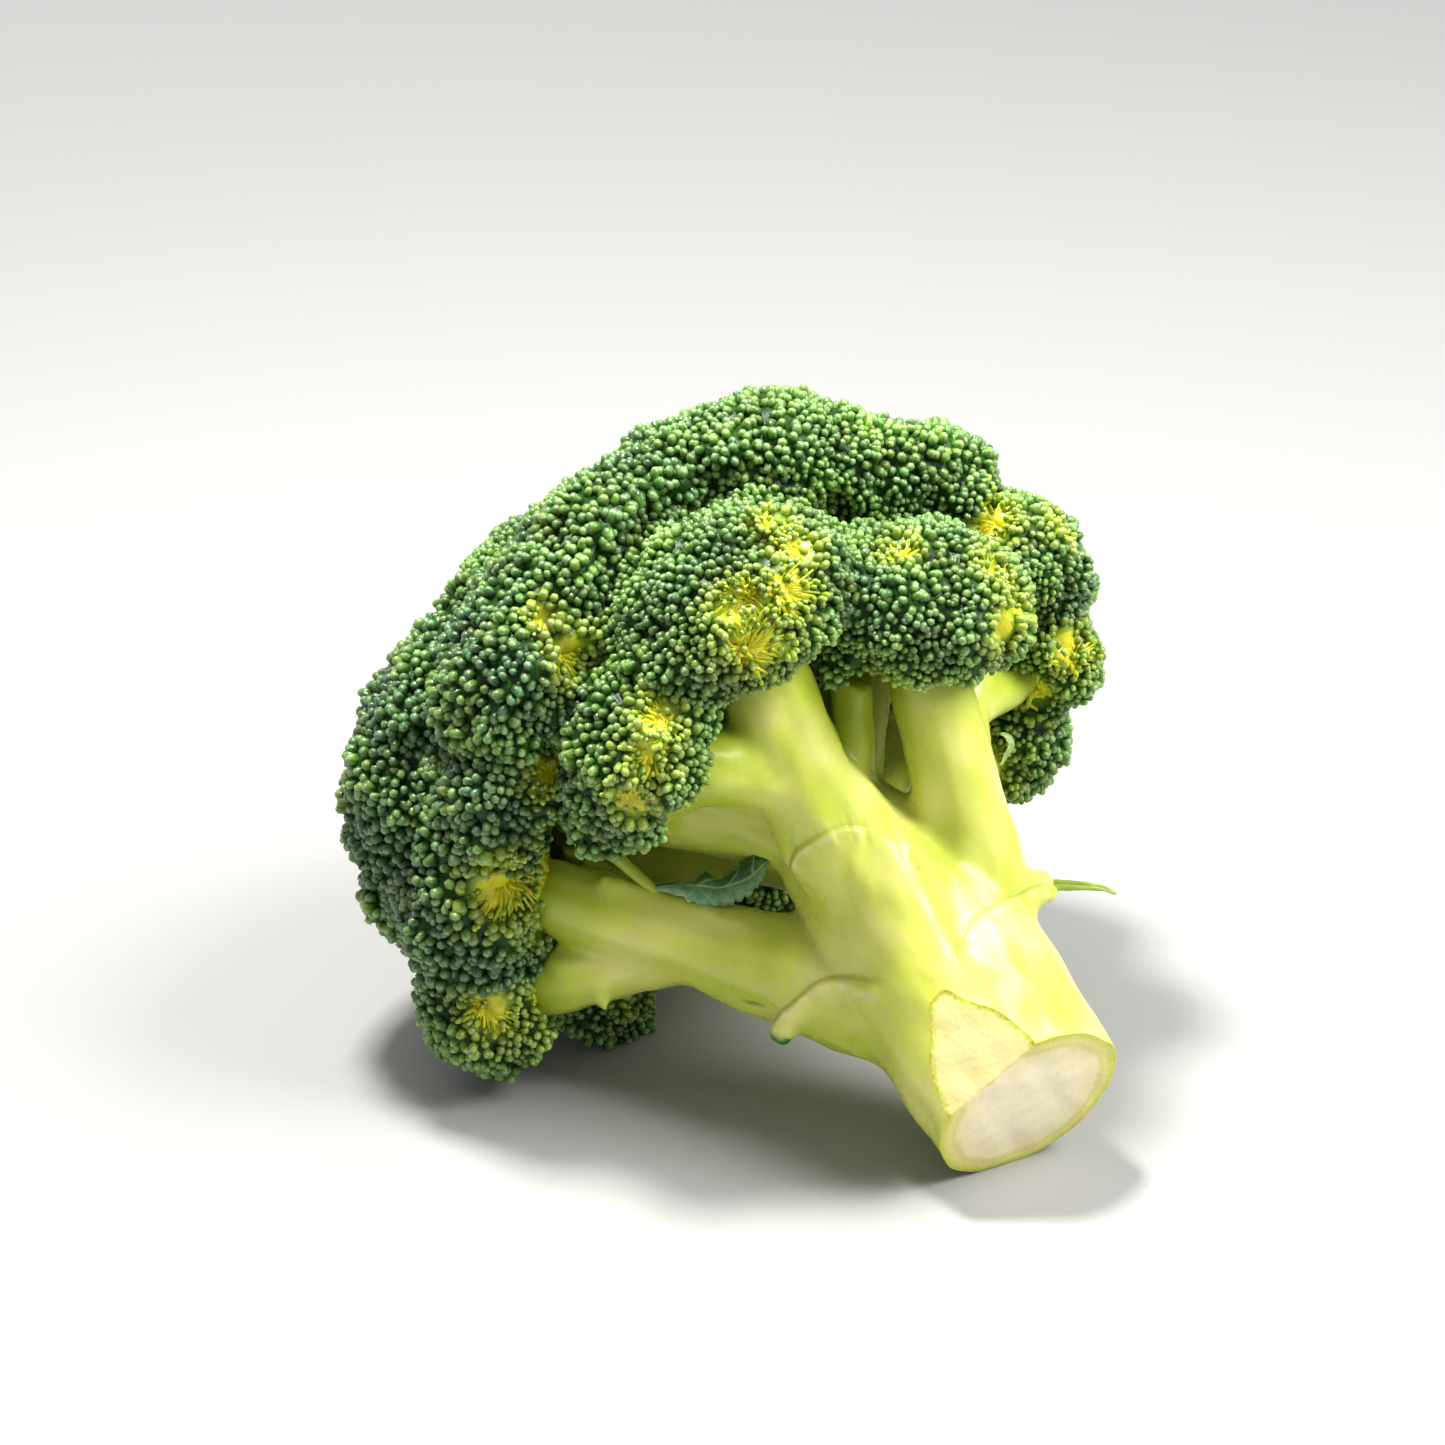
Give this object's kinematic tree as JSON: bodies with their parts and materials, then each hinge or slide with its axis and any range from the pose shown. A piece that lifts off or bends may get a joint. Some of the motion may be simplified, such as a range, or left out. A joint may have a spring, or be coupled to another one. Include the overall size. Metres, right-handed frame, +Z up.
{
  "type": "broccoli head",
  "caption": "Fresh broccoli head lying on its side: a thick cut stalk divides into pale branches that carry a dome of dark green bud heads.",
  "frame": {"origin": "on the surface the head lies on, under the middle of its bounding box", "axes": "+Z up; +Y from the cut end of the stalk towards the crown; +X to the right as seen from the cut end"},
  "size_m": [0.1524, 0.1586, 0.1346],
  "materials": {
    "skin": "waxy green stalk and branch skin, pale cream flesh on the cuts",
    "buds": "closed green buds with a grey-green waxy bloom, yellow-green where thin",
    "leaf": "thin green leaf, semi-matt"
  },
  "bodies": {
    "root": {"stalk": "skin", "branch_front": "skin", "branch_lower_left": "skin", "branch_front_right": "skin", "branch_rest_left": "skin", "branch_lower_outer": "skin", "branch_front_left": "skin", "branch_left": "skin", "branch_inner_left": "skin", "branch_middle_left": "skin", "branch_inner_top": "skin", "branch_right": "skin", "branch_right_small": "skin", "branch_right_lower": "skin", "branch_shoulder_left": "skin", "branch_top_right": "skin", "branch_lower_right": "skin", "branch_rest_back": "skin", "branch_rest_right": "skin", "branch_rest_back_left": "skin", "branch_rest_inner": "skin", "branch_top": "skin", "branch_top_left": "skin", "branch_back_right": "skin", "branch_back_top": "skin", "branch_back_lower_right": "skin", "branch_back_lower_left": "skin", "branch_back_left": "skin", "branch_apex": "skin", "leaf_left": "leaf", "leaf_right": "leaf", "leaf_curl": "leaf", "head_apex": "buds", "head_top_left": "buds", "head_top": "buds", "head_top_right": "buds", "head_shoulder_left": "buds", "head_front": "buds", "head_front_left": "buds", "head_inner_left": "buds", "head_middle_left": "buds", "head_left": "buds", "head_lower_left": "buds", "head_lower_outer": "buds", "head_rest_left": "buds", "head_front_right": "buds", "head_inner_top": "buds", "head_right": "buds", "head_right_small": "buds", "head_right_lower": "buds", "head_rest_inner": "buds", "head_rest_back_left": "buds", "head_rest_back": "buds", "head_rest_right": "buds", "head_lower_right": "buds", "head_back_right": "buds", "head_back_top": "buds", "head_back_lower_right": "buds", "head_back_lower_left": "buds", "head_back_left": "buds"}
  },
  "joints": []
}
